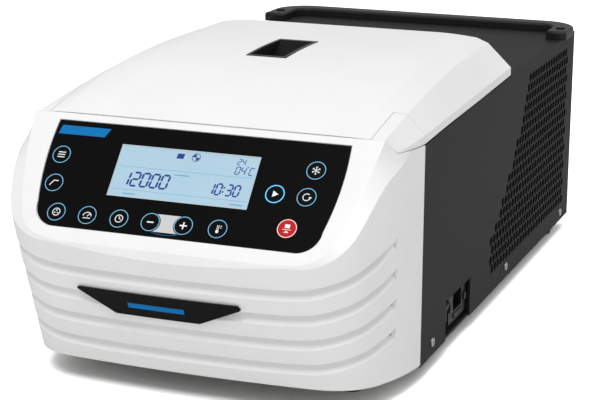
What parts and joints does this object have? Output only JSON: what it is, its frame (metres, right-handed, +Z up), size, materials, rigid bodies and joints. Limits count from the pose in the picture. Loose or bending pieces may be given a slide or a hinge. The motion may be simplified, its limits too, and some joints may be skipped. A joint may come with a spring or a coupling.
{
  "type": "refrigerated microcentrifuge",
  "caption": "Bench-top refrigerated microcentrifuge with a hinged lid over an angled tube rotor, a sloping key panel, a display and a vented cooling unit behind.",
  "frame": {"origin": "centre of the bounding box, on the surface the feet stand on", "axes": "+Z up, +X to the operator's right when facing the panel, operator at -Y, +Y towards the rear"},
  "size_m": [0.31, 0.6351, 0.2341],
  "materials": {
    "body_metal": "fine-textured charcoal powder coat",
    "shell_white": "moulded, satin to gloss white",
    "overlay_black": "gloss black printed membrane",
    "screen_glass": "backlit pale blue LCD",
    "circuit_board": "green solder mask with components",
    "badge_black": "gloss black with a blue accent",
    "key_black": "gloss black cap with printed ring",
    "key_red": "gloss red cap with a white ring",
    "deck_metal": "light grey powder coat",
    "steel": "drawn and turned stainless steel",
    "rubber_black": "moulded black rubber",
    "rubber_grey": "grey sealing rubber",
    "foam": "rigid foam, pale yellow",
    "aluminium_plain": "bare rolled aluminium",
    "rotor_aluminium": "dark anodised aluminium",
    "nut_black": "turned and knurled aluminium",
    "zinc_metal": "zinc plated sheet",
    "motor_paint": "black baked enamel",
    "compressor_paint": "thick black enamel",
    "fan_plastic": "moulded black nylon",
    "copper": "bare drawn copper tube",
    "inlet_plastic": "moulded black thermoplastic",
    "rail_black": "satin black coated bar",
    "frame_black": "gloss black moulded frame",
    "window_clear": "clear polished pane",
    "liner_grey": "light grey moulded liner",
    "hinge_black": "satin black plated steel"
  },
  "bodies": {
    "case": {"base_pan": "body_metal", "board_bracket": "zinc_metal", "case_screws": "steel", "chamber_bowl": "steel", "chamber_gasket": "rubber_grey", "compressor": "compressor_paint", "condenser": "aluminium_plain", "display_board": "circuit_board", "display_screen": "screen_glass", "evaporator": "aluminium_plain", "fan_shroud": "fan_plastic", "feet": "rubber_black", "front_badge": "badge_black", "front_casing": "shell_white", "hinge_frames": "hinge_black", "inlet_bracket": "body_metal", "insulation": "foam", "latch_body": "zinc_metal", "left_cover": "body_metal", "liquid_line": "copper", "main_board": "circuit_board", "motor": "motor_paint", "motor_plate": "zinc_metal", "panel_overlay": "overlay_black", "power_inlet": "inlet_plastic", "rail_bolts": "rail_black", "rear_panel": "body_metal", "rear_rail": "rail_black", "refrigerant_pipes": "copper", "right_cover": "body_metal", "rubber_mounts": "rubber_black", "top_cover": "body_metal", "top_deck": "deck_metal"},
    "lid": {"lid_shell": "shell_white", "corner_caps": "shell_white", "window_frame": "frame_black", "window_glass": "window_clear", "lid_liner": "liner_grey", "lid_striker": "steel", "lid_leaves": "hinge_black"},
    "rotor_set": {"rotor": "rotor_aluminium", "rotor_nut": "nut_black", "motor_shaft": "steel"},
    "fan": {"fan_blades": "fan_plastic"},
    "rocker": {"mains_rocker": "inlet_plastic"},
    "fuse_tray": {"fuse_drawer": "inlet_plastic"},
    "hook": {"latch_hook": "steel"},
    "key_setup_button": {"key_setup": "key_black"},
    "key_line_button": {"key_line": "key_black"},
    "key_rotor_button": {"key_rotor": "key_black"},
    "key_speed_button": {"key_speed": "key_black"},
    "key_time_button": {"key_time": "key_black"},
    "key_minus_button": {"key_minus": "key_black"},
    "key_plus_button": {"key_plus": "key_black"},
    "key_cold_button": {"key_cold": "key_black"},
    "key_chill_button": {"key_chill": "key_black"},
    "key_short_button": {"key_short": "key_black"},
    "key_start_button": {"key_start": "key_black"},
    "key_stop_button": {"key_stop": "key_red"}
  },
  "joints": [
    {"name": "lid_hinge", "type": "hinge", "parent": "case", "child": "lid", "pos_m": [0, 0.07354, 0.2037], "axis": [-1, 0, 0], "range_deg": [0, 75]},
    {"name": "rotor_spin", "type": "hinge", "parent": "case", "child": "rotor_set", "pos_m": [0, -0.08446, 0.115], "axis": [0, 0, 1], "continuous": true},
    {"name": "fan_spin", "type": "hinge", "parent": "case", "child": "fan", "pos_m": [0.098, 0.20554, 0.105], "axis": [1, 0, 0], "continuous": true},
    {"name": "rocker_tilt", "type": "hinge", "parent": "case", "child": "rocker", "pos_m": [0.143, -0.10246, 0.0322], "axis": [0, -1, 0], "range_deg": [0, 20]},
    {"name": "fuse_slide", "type": "slide", "parent": "case", "child": "fuse_tray", "axis": [1, 0, 0], "range_m": [0, 0.012]},
    {"name": "hook_pivot", "type": "hinge", "parent": "case", "child": "hook", "pos_m": [0, -0.23346, 0.158], "axis": [-1, 0, 0], "range_deg": [0, 35], "stiffness_Nm_per_rad": 0.05},
    {"name": "key_setup_press", "type": "slide", "parent": "case", "child": "key_setup_button", "axis": [0, 0.7478, -0.6639], "range_m": [0, 0.0005], "stiffness_N_per_m": 600},
    {"name": "key_line_press", "type": "slide", "parent": "case", "child": "key_line_button", "axis": [0, 0.7478, -0.6639], "range_m": [0, 0.0005], "stiffness_N_per_m": 600},
    {"name": "key_rotor_press", "type": "slide", "parent": "case", "child": "key_rotor_button", "axis": [0, 0.7478, -0.6639], "range_m": [0, 0.0005], "stiffness_N_per_m": 600},
    {"name": "key_speed_press", "type": "slide", "parent": "case", "child": "key_speed_button", "axis": [0, 0.7478, -0.6639], "range_m": [0, 0.0005], "stiffness_N_per_m": 600},
    {"name": "key_time_press", "type": "slide", "parent": "case", "child": "key_time_button", "axis": [0, 0.7478, -0.6639], "range_m": [0, 0.0005], "stiffness_N_per_m": 600},
    {"name": "key_minus_press", "type": "slide", "parent": "case", "child": "key_minus_button", "axis": [0, 0.7478, -0.6639], "range_m": [0, 0.0005], "stiffness_N_per_m": 600},
    {"name": "key_plus_press", "type": "slide", "parent": "case", "child": "key_plus_button", "axis": [0, 0.7478, -0.6639], "range_m": [0, 0.0005], "stiffness_N_per_m": 600},
    {"name": "key_cold_press", "type": "slide", "parent": "case", "child": "key_cold_button", "axis": [0, 0.7478, -0.6639], "range_m": [0, 0.0005], "stiffness_N_per_m": 600},
    {"name": "key_chill_press", "type": "slide", "parent": "case", "child": "key_chill_button", "axis": [0, 0.7478, -0.6639], "range_m": [0, 0.0005], "stiffness_N_per_m": 600},
    {"name": "key_short_press", "type": "slide", "parent": "case", "child": "key_short_button", "axis": [0, 0.7478, -0.6639], "range_m": [0, 0.0005], "stiffness_N_per_m": 600},
    {"name": "key_start_press", "type": "slide", "parent": "case", "child": "key_start_button", "axis": [0, 0.7478, -0.6639], "range_m": [0, 0.0005], "stiffness_N_per_m": 600},
    {"name": "key_stop_press", "type": "slide", "parent": "case", "child": "key_stop_button", "axis": [0, 0.7478, -0.6639], "range_m": [0, 0.0005], "stiffness_N_per_m": 600}
  ]
}
